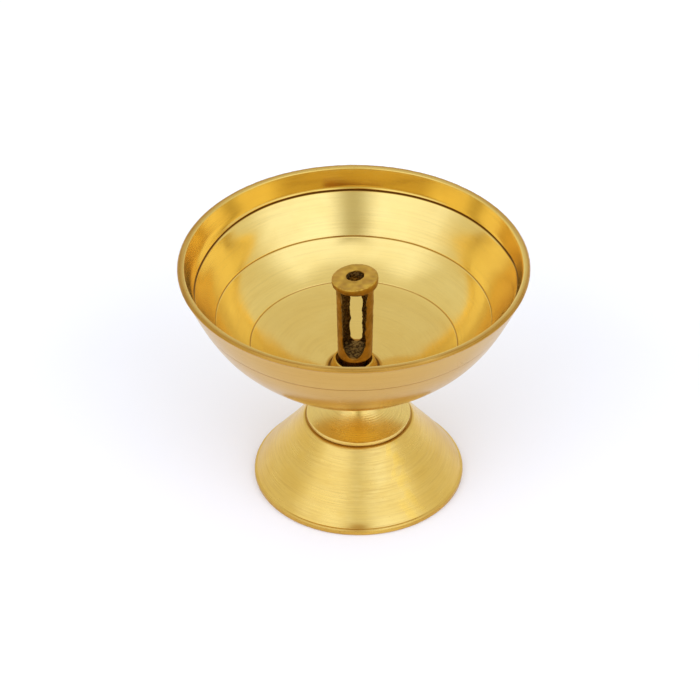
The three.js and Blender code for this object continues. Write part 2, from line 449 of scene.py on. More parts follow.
class Nodes:
    """Short hands for building the node tree of a material or a world."""

    def __init__(self, owner):
        self.owner = owner
        owner.use_nodes = True
        self.tree = owner.node_tree
        self.tree.nodes.clear()
        self.column = 0

    def add(self, kind, **settings):
        node = self.tree.nodes.new(kind)
        self.column += 1
        node.location = (self.column % 12 * 200, -(self.column // 12) * 300)
        for key, value in settings.items():
            setattr(node, key, value)
        return node

    def link(self, source, target):
        self.tree.links.new(source, target)

    def feed(self, socket, value):
        """Links a socket, or sets a plain value."""
        if isinstance(value, bpy.types.NodeSocket):
            self.link(value, socket)
        else:
            socket.default_value = value

    def scaled(self, vector, factors):
        node = self.add("ShaderNodeVectorMath", operation="MULTIPLY")
        self.link(vector, node.inputs[0])
        node.inputs[1].default_value = factors
        return node.outputs[0]

    def noise(self, vector, scale, detail=3.0, roughness=0.5, distortion=0.0):
        node = self.add("ShaderNodeTexNoise")
        self.link(vector, node.inputs["Vector"])
        node.inputs["Scale"].default_value = scale
        node.inputs["Detail"].default_value = detail
        node.inputs["Roughness"].default_value = roughness
        node.inputs["Distortion"].default_value = distortion
        return node.outputs["Fac"]

    def span(self, value, low, high, to_low=0.0, to_high=1.0):
        """A smooth step between two levels, which may run downwards."""
        node = self.add("ShaderNodeMapRange", interpolation_type="SMOOTHSTEP")
        self.link(value, node.inputs["Value"])
        node.inputs["From Min"].default_value = low
        node.inputs["From Max"].default_value = high
        node.inputs["To Min"].default_value = to_low
        node.inputs["To Max"].default_value = to_high
        return node.outputs["Result"]

    def math(self, operation, first, second=0.0, third=0.0):
        node = self.add("ShaderNodeMath", operation=operation)
        self.feed(node.inputs[0], first)
        self.feed(node.inputs[1], second)
        self.feed(node.inputs[2], third)
        return node.outputs[0]

    def mix(self, factor, first, second):
        node = self.add("ShaderNodeMix", data_type="RGBA")
        self.feed(node.inputs[0], factor)
        self.feed(node.inputs[6], first)
        self.feed(node.inputs[7], second)
        return node.outputs[2]

    def attribute(self, name):
        return self.add("ShaderNodeAttribute", attribute_name=name).outputs["Vector"]

    def parts(self, vector):
        node = self.add("ShaderNodeSeparateXYZ")
        self.link(vector, node.inputs[0])
        return node.outputs

    def object_place(self):
        return self.add("ShaderNodeTexCoord").outputs["Object"]

    def bump(self, height, strength, distance, below=None):
        node = self.add("ShaderNodeBump")
        self.link(height, node.inputs["Height"])
        node.inputs["Strength"].default_value = strength
        node.inputs["Distance"].default_value = distance
        if below is not None:
            self.link(below, node.inputs["Normal"])
        return node.outputs["Normal"]

    def scratches(self, vector, scale, width):
        """Thin wandering hairlines: where a stretched noise crosses its middle value."""
        value = self.noise(vector, scale, detail=1.0, distortion=1.2)
        away = self.math("ABSOLUTE", self.math("SUBTRACT", value, 0.5))
        return self.span(away, width, 0.0)

    def finish(self, colour, roughness, normal, anisotropy=0.0, coat=0.0):
        """A metal whose brushing runs round the lathe, under a thin coat, and the material it ends."""
        shader = self.add("ShaderNodeBsdfPrincipled")
        output = self.add("ShaderNodeOutputMaterial")
        shader.inputs["Metallic"].default_value = 1.0
        shader.inputs["Anisotropic"].default_value = anisotropy
        shader.inputs["Anisotropic Rotation"].default_value = 0.25
        self.feed(shader.inputs["Coat Weight"], coat)
        shader.inputs["Coat Roughness"].default_value = 0.2
        self.feed(shader.inputs["Base Color"], colour)
        self.feed(shader.inputs["Roughness"], roughness)
        self.link(normal, shader.inputs["Normal"])
        self.link(shader.outputs[0], output.inputs[0])
        return self.owner


def rgba(colour, factor=1.0):
    """A colour with full alpha, dimmed by a factor."""
    return tuple(min(channel * factor, 1.0) for channel in colour) + (1.0,)


def lathe_brass(name, settings, smooth, rough, line_pitch, line_depth, anisotropy, deepness, lines=0.3):
    """Turned brass: fine rings along the lathe coordinate, cloudy tone, hairline scratches and pits.

    The finish weights are polish, tarnish and grit. Polish also carries painted reflections, and
    tarnish carries painted shade and painted shadows. Tarnish and painted shade go through brown
    to nearly black, and take the coat away.
    """
    n = Nodes(bpy.data.materials.new(name))
    place = n.object_place()
    lathe = n.attribute("lathe")
    # Polish also carries painted reflections, and tarnish carries painted shade and painted shadows.
    polish_and_reflection, tarnish_and_shade, grit = n.parts(n.attribute("finish"))[:3]
    rings = n.noise(n.scaled(lathe, (0.8, 0.8, 1.0 / line_pitch)), 1.0, detail=4.0, roughness=0.65)
    streaks = n.noise(n.scaled(lathe, (2.6, 2.6, 2.4)), 1.0, detail=4.0, roughness=0.75)
    bands = n.noise(n.scaled(lathe, (1.4, 1.4, 0.22)), 1.0, detail=2.0)
    clouds = n.noise(place, 90.0, detail=4.0, roughness=0.6, distortion=0.4)
    specks = n.noise(place, 2600.0, detail=2.0)
    hairs = n.scratches(n.scaled(place, (1.0, 0.35, 0.6)), 130.0, 0.006)
    arcs = n.scratches(n.scaled(lathe, (1.6, 1.6, 0.5)), 1.3, 0.008)
    marks = n.math("MAXIMUM", hairs, arcs)
    tone = n.math("ADD", n.math("MULTIPLY", clouds, 0.6), n.math("MULTIPLY", bands, 0.4))
    tone = n.span(tone, 0.35, 0.65, 0.0, deepness)
    colour = n.mix(tone, rgba(settings.bright_brass), rgba(settings.deep_brass))
    colour = n.mix(n.math("MULTIPLY", polish_and_reflection, 0.75), colour, rgba(settings.golden_brass))
    drawn = n.math("MULTIPLY", n.span(rings, 0.36, 0.64), n.span(streaks, 0.38, 0.62))
    strength = n.math("MULTIPLY", n.math("ADD", grit, 0.06), lines)
    colour = n.mix(n.math("MULTIPLY", drawn, strength), colour, DRAWN_LINE)
    pits = n.math("MULTIPLY", n.span(specks, 0.62, 0.76), grit)
    # Real pits and tarnish, and painted shade, turn brown and then nearly black.
    stain_and_shade = n.math("MAXIMUM", tarnish_and_shade, pits)
    colour = n.mix(n.span(stain_and_shade, 0.0, 0.5), colour, TARNISH_AND_SHADE_BROWN)
    colour = n.mix(n.span(stain_and_shade, 0.5, 1.0), colour, TARNISH_AND_SHADE_DARK)
    level = n.math("ADD", n.math("MULTIPLY", rings, 0.5), n.math("MULTIPLY", clouds, 0.5))
    level = n.span(level, 0.32, 0.68, smooth, rough)
    level = n.math("MULTIPLY", level, n.span(polish_and_reflection, 0.0, 1.0, 1.0, 0.55))
    level = n.math("ADD", level, n.math("MULTIPLY", marks, 0.03))
    level = n.math("ADD", level, n.math("MULTIPLY", tarnish_and_shade, 0.22))
    normal = n.bump(rings, 0.5, line_depth * MM)
    normal = n.bump(marks, 0.2, -0.003 * MM, normal)
    normal = n.bump(pits, 0.5, -0.03 * MM, normal)
    coat = n.math("MAXIMUM", n.math("MULTIPLY_ADD", tarnish_and_shade, -0.9, 0.3), 0.0)
    return n.finish(colour, level, normal, anisotropy, coat)


def cast_metal(name, settings):
    """Sand-cast brass: granular bump, darker hollows and paler rubbed edges from the finish weights.

    The darker hollows are painted shade with crust, and the paler front edge of the head is a
    painted highlight.
    """
    n = Nodes(bpy.data.materials.new(name))
    place = n.object_place()
    rubbed_and_highlight, hollow, _ = n.parts(n.attribute("finish"))[:3]
    clouds = n.noise(place, 260.0, detail=4.0, roughness=0.6)
    sand = n.noise(place, 2400.0, detail=4.0, roughness=0.7)
    grit = n.span(n.noise(place, 1900.0, detail=2.0), 0.42, 0.6)
    tone = n.span(clouds, 0.35, 0.68)
    colour = n.mix(tone, rgba(settings.cast_brass), rgba(settings.cast_brass, 0.72))
    # The rubbed weight is wear on the head's top and a painted highlight on its front edge.
    colour = n.mix(rubbed_and_highlight, colour, rgba(settings.golden_brass, 0.9))
    # Painted shade with crust: the hollows go through pale crust to nearly black.
    crust_and_shade = n.mix(grit, CRUST_AND_SHADE_DARK, CRUST_PALE)
    colour = n.mix(hollow, colour, crust_and_shade)
    level = n.math("ADD", n.math("MULTIPLY", sand, 0.5), n.math("MULTIPLY", clouds, 0.5))
    level = n.span(level, 0.35, 0.65, 0.30, 0.52)
    level = n.math("ADD", level, n.math("MULTIPLY", hollow, 0.2))
    normal = n.bump(sand, 0.6, 0.035 * MM)
    normal = n.bump(clouds, 0.4, 0.08 * MM, normal)
    return n.finish(colour, level, normal)


def screw_metal(name, settings):
    """Plain turned fastener brass, duller, with cloudy darker patches."""
    n = Nodes(bpy.data.materials.new(name))
    place = n.object_place()
    clouds = n.noise(place, 400.0, detail=4.0)
    fine = n.noise(n.scaled(place, (1.0, 1.0, 6.0)), 1500.0, detail=3.0)
    bright, dull = rgba(settings.bright_brass, 0.85), rgba(settings.cast_brass, 0.8)
    colour = n.mix(n.span(clouds, 0.35, 0.7), bright, dull)
    level = n.span(fine, 0.3, 0.7, 0.26, 0.46)
    return n.finish(colour, level, n.bump(fine, 0.4, 0.015 * MM))


# ---------------------------------------------------------------- bowl

def bowl_outline():
    """The bowl's section: out along the seat, up the outside, over the lip and down the inside."""
    outside = spline([
        (BOWL_SEAT_RADIUS, BOWL_SEAT), (22.2, 36.55), (29.8, 42.5), (35.1, 48.5), (38.65, 54.5),
        (RIM_RADIUS - 0.3, RIM_TOP - 1.1)], 240)
    lip = softened([
        outside[-1], (RIM_RADIUS, RIM_TOP - 0.8), (RIM_RADIUS, RIM_TOP - 0.45),
        (RIM_RADIUS - 0.4, RIM_TOP), (RIM_RADIUS - 1.0, RIM_TOP - 0.01),
        (RIM_RADIUS - 1.48, RIM_TOP - 0.05), LIP_INSIDE], 0.14)
    band = softened([LIP_INSIDE, (39.83, 59.5), WALL_TOP], 0.25)
    inside = spline([
        WALL_TOP, (36.75, 53.6), MIDDLE_GROOVE, LOW_GROOVE, (15.0, 35.1),
        (SOCKET_RADIUS + 0.6, BOWL_FLOOR)], 360)
    hole = softened([
        inside[-1], (BOWL_HOLE_RADIUS, BOWL_FLOOR), (BOWL_HOLE_RADIUS, BOWL_SEAT), outside[0]], 0.15)
    return Outline(np.vstack([outside, lip, band, inside, hole]), ring=True)


class LAMP_OT_bowl(Operator):
    """Spin the bowl: outer wall, rolled lip and an inside with three turned grooves"""

    bl_idname = "lamp.bowl"
    bl_label = "Bowl"

    def execute(self, context):
        settings = context.scene.oil_lamp
        outline = bowl_outline()
        first = outline.nearest(*TOP_GROOVE)
        second = outline.nearest(*MIDDLE_GROOVE)
        third = outline.nearest(*LOW_GROOVE)
        lip = outline.nearest(RIM_RADIUS - 0.5, RIM_TOP)
        inner_edge = outline.nearest(*INNER_BAND_EDGE)
        outer_line = outline.nearest(*OUTER_LINE)
        belly = outline.nearest(*BELLY)
        foot = outline.nearest(SOCKET_RADIUS + 0.35, BOWL_FLOOR)
        rows = outline.rows(0.62, marks=(first, second, third, outer_line), fine=0.09, reach=0.42)
        depth, width = settings.groove_depth, settings.groove_width

        def drift(along, angle):
            """The top groove wanders: it runs down the wall on the left and up it on the right."""
            turn = np.degrees(angle)
            right = np.where(turn > 180, turn - 360, turn)
            slip = 1.7 * bell(turn - 168, 30) - 1.2 * bell(right, 14)
            return slip * bell(along - first, 5.0)

        def swell(along, angle):
            """Three grooves and the outer line cut in, nicks on the rim, and the spinning waves."""
            tremble = 0.05 * ripple(31, 0.0, angle, 1.0, 23)
            inside = past(along - inner_edge - 1.2, 3)
            cut = -depth * bell(along - first - tremble, width)
            cut = cut - 0.5 * depth * bell(along - second, 0.75 * width)
            cut = cut - 0.36 * depth * bell(along - third, 0.7 * width)
            cut = cut - 0.03 * bell(along - outer_line, 0.10)
            waves = ripple(7, along, angle, 26.0, 5) + 0.35 * ripple(8, along, angle, 9.0, 13)
            rim = bell(along - lip, 1.1)
            above = past(first - along, 2)
            waves = settings.bowl_waves * waves * (1 - 0.8 * rim) * (1 - 0.55 * above * inside)
            nicks = 0.012 * ripple(12, along, angle, 2.0, 120, 24) * rim
            return cut + waves * (0.35 + 0.65 * inside) + nicks

        def finish(along, angle):
            """Polish above the top groove and low on the outside, a browned lip and outside, and grit.

                    The golden polish above the top groove, strongest at the back, is a painted reflection,
                    and low on the outside it is polish with a painted reflection of the foot. The browned lip
                    and outside are painted shade, the darkened grooves are painted shade and the dark ring
                    round the socket's seat is a painted shadow.
            """
            band = past(along - inner_edge, 4) * past(first - along, 4)
            # Polish with a painted reflection of the foot, low on the outside.
            low = bell(along - belly, 5.5, 4)
            # A painted reflection: the band's golden polish is strongest on the back.
            back = bell(np.degrees(angle) - 90, 38)
            polish_and_reflection = np.maximum(band * (0.25 + 0.75 * back), low)
            floor = 0.14 * past(along - third, 1.5)
            rim = bell(along - lip + 0.1, 1.15, 4)
            # Painted shade: the lip is browned all round, varied in dashes.
            brown = 0.25 * bell(along - lip + 0.45, 0.55)
            brown = brown * (0.75 + 0.25 * ripple(5, along, angle, 3.0, 30)) + 0.23 * rim
            # Painted shade: the whole outside is browned by a third.
            outer = past(lip - 0.5 - along, 2)
            line = 0.5 * bell(along - outer_line, 0.12)
            # Painted shade in the three grooves, widest and darkest at the top one.
            dark = 0.95 * bell(along - first, width * 1.7, 4)
            dark = dark + 0.6 * bell(along - second, width * 0.7)
            dark = dark + 0.45 * bell(along - third, width * 0.7)
            # A painted shadow round the socket where it stands on the floor.
            seat = 0.9 * bell(along - foot, 0.45)
            tarnish_and_shade = np.clip(brown + 0.33 * outer + line + dark + seat + floor, 0, 1)
            return polish_and_reflection, tarnish_and_shade, 0.75 * rim + 0.12 + 0.4 * outer

        points, faces, lathe, weights = turned(
            outline, rows, settings.segments, swell=swell, finish=finish, warp=drift)
        material = lathe_brass("spun bowl brass", settings, smooth=0.11, rough=0.20, line_pitch=0.35,
                               line_depth=0.003, anisotropy=0.2, deepness=0.35, lines=0.6)
        piece("bowl_shell", points, faces, material, "bowl", "lamp", lathe, weights)
        return {"FINISHED"}


# ---------------------------------------------------------------- wick socket and holder

class LAMP_OT_socket(Operator):
    """Turn the socket cup that stands in the bowl and takes the wick holder"""

    bl_idname = "lamp.socket"
    bl_label = "Wick socket"

    def execute(self, context):
        settings = context.scene.oil_lamp
        bore = THREAD_RADIUS + THREAD_CLEARANCE
        section = softened([
            (0.4, STUD_TOP + 0.1), (bore, STUD_TOP + 0.1), (bore, SOCKET_SHANK_END),
            (SOCKET_SHANK_RADIUS, SOCKET_SHANK_END), (SOCKET_SHANK_RADIUS, BOWL_FLOOR),
            (SOCKET_RADIUS, BOWL_FLOOR), (SOCKET_RADIUS, BOWL_FLOOR + 0.5),
            (SOCKET_RADIUS - 0.45, BOWL_FLOOR + 1.6), (SOCKET_MOUTH_RADIUS + 0.6, SOCKET_TOP - 0.25),
            (SOCKET_MOUTH_RADIUS + 0.32, SOCKET_TOP), (SOCKET_MOUTH_RADIUS + 0.02, SOCKET_TOP),
            (SOCKET_MOUTH_RADIUS - 0.1, SOCKET_TOP - 0.5), (SOCKET_HOLE_RADIUS, SOCKET_TOP - 1.9),
            (SOCKET_HOLE_RADIUS, SOCKET_HOLE_FLOOR), (0.4, SOCKET_HOLE_FLOOR)], 0.22)
        outline = Outline(section, ring=False)
        mouth = outline.nearest(SOCKET_MOUTH_RADIUS + 0.2, SOCKET_TOP)

        def swell(along, angle):
            """Soft unevenness left by the turning."""
            return 0.018 * ripple(21, along, angle, 1.6, 9)

        def finish(along, angle):
            """Painted shade, with soot and old oil, down the mouth and into the hole, and a clean
                    rubbed lip.
            """
            # Painted shade: everything past the mouth is darkened.
            inside = past(along - mouth - 0.5, 5)
            return bell(along - mouth, 0.4), 0.2 + 0.7 * inside, 0.5 + 0 * angle

        points, faces, lathe, weights = turned(
            outline, outline.rows(0.35), 120, swell=swell, finish=finish)
        material = lathe_brass("socket brass", settings, smooth=0.22, rough=0.36, line_pitch=0.3,
                               line_depth=0.008, anisotropy=0.2, deepness=0.7)
        piece("socket_cup", points, faces, material, "wick_socket", "lamp", lathe, weights)
        return {"FINISHED"}


def slot_half_width(height, widths, ceiling, seed):
    """Half a slot's width at each height, ragged, with a half circle at its floor and at its ceiling."""
    top = min(ceiling, HEAD_TOP - HEAD_HEIGHT)
    end = widths[1] / 2
    rise = height - TUBE_FLOOR
    share = np.clip((rise - end) / (top - TUBE_FLOOR - end), 0, 1)
    width = end + (widths[0] - widths[1]) / 2 * share
    width = width + 0.09 * ripple(seed, rise, 0.0, 4.0, 1) + 0.03 * ripple(seed + 1, rise, 0.0, 1.3, 1)
    width = np.where(rise < end, np.minimum(width, end * (np.clip(rise, 0, end) / end) ** 0.5), width)
    drop = ceiling - height
    over = np.sqrt(np.maximum(end ** 2 - (end - np.clip(drop, 0, end)) ** 2, 0))
    return np.where(drop < end, np.minimum(over, width), width)


def rib(seed, columns, rows):
    """One side of the slotted tube, a closed sector carried up the tube.

    At each height the sector runs between the two slots' edges, whose half angles are the arcsine of
    the slot's half width over the radius, and goes out at the tapered outer radius and back at the
    bore.
    """
    climb = np.linspace(0, 1, rows)
    height = TUBE_FLOOR + 0.02 + (HEAD_TOP - HEAD_HEIGHT + 0.48 - TUBE_FLOOR) * climb
    share = (height - TUBE_BOTTOM) / (HEAD_TOP - HEAD_HEIGHT - TUBE_BOTTOM)
    outer = TUBE_BOTTOM_RADIUS + (TUBE_TOP_RADIUS - TUBE_BOTTOM_RADIUS) * share
    front = slot_half_width(height, FRONT_SLOT, 99.0, seed)[:, None]
    back = slot_half_width(height, BACK_SLOT, BACK_SLOT_TOP, seed + 5)[:, None] - 0.03
    loop = np.linspace(0, 1, columns, endpoint=False)[None, :]
    outward = loop < 0.5
    walk = np.where(outward, loop * 2, 2 - loop * 2)
    radius = np.where(outward, outer[:, None], TUBE_BORE)
    start = -math.pi / 2 + np.arcsin(np.clip(front / radius, -1, 1))
    stop = math.pi / 2 - np.arcsin(np.clip(back / radius, -1, 1))
    angle = start + (stop - start) * walk
    return np.stack([radius * np.cos(angle), radius * np.sin(angle), height[:, None] + 0 * angle], axis=-1)


def capped(points):
    """Points and faces of a tube whose first and last loops are closed by fans."""
    rows, columns = points.shape[:2]
    ends = np.stack([points[0].mean(axis=0), points[-1].mean(axis=0)])
    return np.vstack([points.reshape(-1, 3), ends]), skin_faces(rows, columns, ring=False)


def fused(shells, voxel):
    """Joins overlapping closed shells, in millimetres, into one skin and returns its points and faces."""
    points, faces, start = [], [], 0
    for shell_points, shell_faces in shells:
        points.append(shell_points)
        faces += [[index + start for index in face] for face in shell_faces]
        start += len(shell_points)
    mesh = bpy.data.meshes.new("shells")
    mesh.from_pydata(np.vstack(points).tolist(), [], faces)
    obj = bpy.data.objects.new("shells", mesh)
    bpy.context.scene.collection.objects.link(obj)
    modifier = obj.modifiers.new("fuse", "REMESH")
    modifier.mode = "VOXEL"
    modifier.voxel_size = voxel
    modifier.adaptivity = 0.0
    ready = obj.evaluated_get(bpy.context.evaluated_depsgraph_get())
    skin = bpy.data.meshes.new_from_object(ready)
    found = np.empty(len(skin.vertices) * 3)
    skin.vertices.foreach_get("co", found)
    quads = [list(face.vertices) for face in skin.polygons]
    bpy.data.objects.remove(obj)
    bpy.data.meshes.remove(mesh)
    bpy.data.meshes.remove(skin)
    return found.reshape(-1, 3), quads


def head_shell():
    """The head: a disc with a rounded flange and an off-centre hole.

    The section loop runs out under the head, up its edge, back over the top and down the hole, and
    its inner points lean towards the hole's own centre.
    """
    low = HEAD_TOP - HEAD_HEIGHT
    section = softened([
        (WICK_HOLE_RADIUS, low - 0.1), (TUBE_TOP_RADIUS, low - 0.1), (HEAD_RADIUS - 0.3, low + 0.2),
        (HEAD_RADIUS, low + 0.7), (HEAD_RADIUS, HEAD_TOP - 0.1), (HEAD_RADIUS - 0.12, HEAD_TOP),
        (WICK_HOLE_RADIUS, HEAD_TOP)], 0.12, ring=True)
    outline = Outline(section, ring=True)
    rows = outline.rows(0.3)
    angle = np.arange(96)[None, :] * (2 * math.pi / 96)
    radius, height = outline.at(rows[:, None] + 0 * angle)
    lean = 1 - np.clip((radius - WICK_HOLE_RADIUS) / (HEAD_RADIUS - WICK_HOLE_RADIUS - 1), 0, 1)
    across, back = radius * np.cos(angle), radius * np.sin(angle) + lean * WICK_HOLE_SHIFT
    points = np.stack([across, back, height], axis=-1)
    return points.reshape(-1, 3), skin_faces(len(rows), 96, ring=True)


def plug_shell():
    """The tube's solid bottom and the spigot under it."""
    section = softened([
        (0.4, SOCKET_HOLE_FLOOR + 0.05), (SPIGOT_RADIUS - 0.3, SOCKET_HOLE_FLOOR + 0.05),
        (SPIGOT_RADIUS, SOCKET_HOLE_FLOOR + 0.35), (SPIGOT_RADIUS, TUBE_BOTTOM),
        (TUBE_BOTTOM_RADIUS - 0.25, TUBE_BOTTOM), (TUBE_BOTTOM_RADIUS, TUBE_BOTTOM + 0.3),
        (TUBE_BOTTOM_RADIUS + 0.02, TUBE_FLOOR + 0.1), (0.4, TUBE_FLOOR + 0.1)], 0.15)
    outline = Outline(section, ring=False)
    rows = outline.rows(0.3)
    points, faces, _, _ = turned(outline, rows, 80)
    return points, faces


def holder_zones(points):
    """Each point's radius and height, and how far it is above the spigot, in the bore and in the face."""
    radius = np.hypot(points[:, 0], points[:, 1])
    height = points[:, 2]
    above = np.clip((height - TUBE_BOTTOM) * 2, 0, 1)
    inner = above * np.clip((TUBE_BORE + 0.35 - radius) / 0.3, 0, 1)
    inner = inner * np.clip((HEAD_TOP - 0.35 - height) / 0.3, 0, 1)
    face = np.clip((height - HEAD_TOP + 0.8) / 0.8, 0, 1)
    return radius, height, above, inner, face


class LAMP_OT_holder(Operator):
    """Cast the wick holder: slotted tube, head with its wick hole, and spigot"""

    bl_idname = "lamp.holder"
    bl_label = "Wick holder"

    def execute(self, context):
        settings = context.scene.oil_lamp
        right = rib(81, 96, 150)
        left = (rib(91, 96, 150) * np.array([-1, 1, 1]))[:, ::-1]
        shells = [capped(right), capped(left), head_shell(), plug_shell()]
        smooth_points, faces = fused(shells, CAST_VOXEL)
        points = self.cast(smooth_points, settings.cast_grain)
        weights = self.wear(smooth_points, points)
        piece("slotted_holder", points, faces, cast_metal("cast holder brass", settings), "wick_holder",
              "holder", weights=weights)
        return {"FINISHED"}

    def cast(self, points, roughness):
        """Sand grain, ragged slot edges, a head whose top is askew and chipped, and the slots' turn."""
        radius, height, above, inner, face = holder_zones(points)
        push = roughness * above * (0.45 * grain(41, points, 1.5) + 0.3 * grain(42, points, 0.55))
        push = np.minimum(push * (1 + 1.2 * inner), 0.12) * np.where(inner > 0.5, -1, 1)
        reach = np.maximum(radius, 0.2)
        away = np.stack([points[:, 0] / reach, points[:, 1] / reach, 0 * height], axis=1)
        points = points + away * push[:, None]
        slot_edge = np.abs(np.arctan2(points[:, 0], -points[:, 1])) - 0.75
        points[:, 0] += above * 0.05 * grain(44, points, 1.1) * bell(slot_edge, 0.35)
        # The head was sawn a little askew: its top rises to the right, its underside stays level.
        points[:, 2] += face * (0.10 * points[:, 0] + 0.12 + 0.02 * grain(45, points, 2.2))
        points[:, 2] = np.minimum(points[:, 2], HEAD_TOP + 0.7)
        chips = np.clip(radius - HEAD_RADIUS + 0.5, 0, 1) * face * np.clip(-points[:, 1] / 5, 0, 1)
        points[:, 2] -= 0.22 * chips * np.clip(grain(46, points, 1.3), 0, 2)
        cosine, sine = math.cos(SLOT_TURN), math.sin(SLOT_TURN)
        points[:, :2] = points[:, :2] @ np.array([[cosine, sine], [-sine, cosine]])
        points[:, 0] += TUBE_SHIFT * np.clip((height - TUBE_BOTTOM + 1) / 1.5, 0, 1)
        return points

    def wear(self, smooth_points, points):
        """Finish weights: rubbed on the head, hollow in the bore, the wick hole and the tube's floor.

        The hollow weight is painted shade with crust, and the paler front edge of the head is a
        painted highlight.
        """
        radius, height, _, inner, face = holder_zones(smooth_points)
        flat = face * np.maximum(np.clip((HEAD_RADIUS - 0.1 - radius) / 0.4, 0, 1), 0.8)
        from_hole = np.hypot(points[:, 0] - TUBE_SHIFT, points[:, 1] - WICK_HOLE_SHIFT)
        in_hole = from_hole < WICK_HOLE_RADIUS + 0.05
        in_hole = in_hole & (height > HEAD_TOP - HEAD_HEIGHT - 0.3) & (height < HEAD_TOP - 0.15)
        well = (height < TUBE_FLOOR + 0.9) * (height > TUBE_FLOOR - 0.4) * (radius < TUBE_BORE + 0.2)
        # Painted shade with crust in the bore, the wick hole and the tube's floor.
        hollow = np.clip(inner * 0.8 + in_hole * 0.45 + well * 0.9, 0, 0.95)
        # A painted highlight: the head's edge is paler only on the front.
        edge = face * bell(radius - HEAD_RADIUS + 0.2, 0.2) * np.clip(-points[:, 1] / 4, 0, 1)
        rubbed_and_highlight = flat * (0.45 + 0.12 * grain(47, points, 1.8))
        rubbed_and_highlight = rubbed_and_highlight + 0.5 * edge * np.clip(grain(48, points, 0.7), 0, 1)
        return np.stack([np.clip(rubbed_and_highlight * (1 - hollow), 0, 1), hollow, 0 * hollow], axis=1)


# ---------------------------------------------------------------- neck and foot

def neck_outline():
    """The neck's section: bore, flange, hollow spool and the pocket for the socket."""
    flange_top = FOOT_TOP + NECK_FLANGE_HEIGHT
    spool = spline([
        (NECK_FLANGE_RADIUS - 0.2, flange_top), (9.0, 20.6), (7.2, 22.1), (6.1, 23.6),
        (NECK_WAIST_RADIUS, NECK_WAIST_HEIGHT), (6.9, 27.2), (8.7, 29.4),
        (NECK_TOP_RADIUS - 0.05, BOWL_SEAT - NECK_TOP_HEIGHT)], 260)
    flange = softened([
        (FOOT_BORE_RADIUS, NECK_POCKET_FLOOR), (FOOT_BORE_RADIUS, FOOT_TOP),
        (NECK_FLANGE_RADIUS - 0.1, FOOT_TOP), (NECK_FLANGE_RADIUS, FOOT_TOP + 0.12),
        (NECK_FLANGE_RADIUS, flange_top - 0.1), spool[0]], 0.14)
    top = softened([
        spool[-1], (NECK_TOP_RADIUS, BOWL_SEAT), (NECK_POCKET_RADIUS, BOWL_SEAT),
        (NECK_POCKET_RADIUS, NECK_POCKET_FLOOR), (FOOT_BORE_RADIUS, NECK_POCKET_FLOOR)], 0.12)
    return Outline(np.vstack([flange[1:], spool, top[:-1]]), ring=True)


def foot_outline():
    """The foot's section: bore, boss, hollow, resting ring, rolled band, flared cone and crown."""
    flare = spline([
        FLARE_START, (23.5, 5.0), (18.75, 11.0), (13.98, FOOT_TOP - 0.36)], 220)
    plate = FOOT_TOP - FOOT_PLATE
    boss = plate - FOOT_BOSS_DROP
    hollow = spline([
        (FOOT_BOSS_RADIUS + 1.2, plate), (FOOT_TOP_RADIUS - 1.1, plate - 1.2), (16.875, 10.7),
        (21.625, 4.7), (FOOT_RADIUS - FOOT_REST_WIDTH, 0.9)], 160)
    under = softened([
        (FOOT_BORE_RADIUS, FOOT_TOP), (FOOT_BORE_RADIUS, boss), (FOOT_BOSS_RADIUS, boss),
        (FOOT_BOSS_RADIUS + 0.3, plate - 0.6), hollow[0]], 0.2)
    rest = softened([
        hollow[-1], (FOOT_RADIUS - FOOT_REST_WIDTH, 0), (FOOT_RADIUS - 0.35, 0), (FOOT_RADIUS, 0.35),
        (FOOT_RADIUS, FOOT_BAND - 0.2), (FOOT_RADIUS - 0.3, FOOT_BAND + 0.12), flare[0]], 0.24)
    crown = softened([flare[-1], (FOOT_TOP_RADIUS - 0.15, FOOT_TOP), (FOOT_BORE_RADIUS, FOOT_TOP)], 0.4)
    return Outline(np.vstack([under[3:], hollow, rest, flare, crown[:-1]]), ring=True)


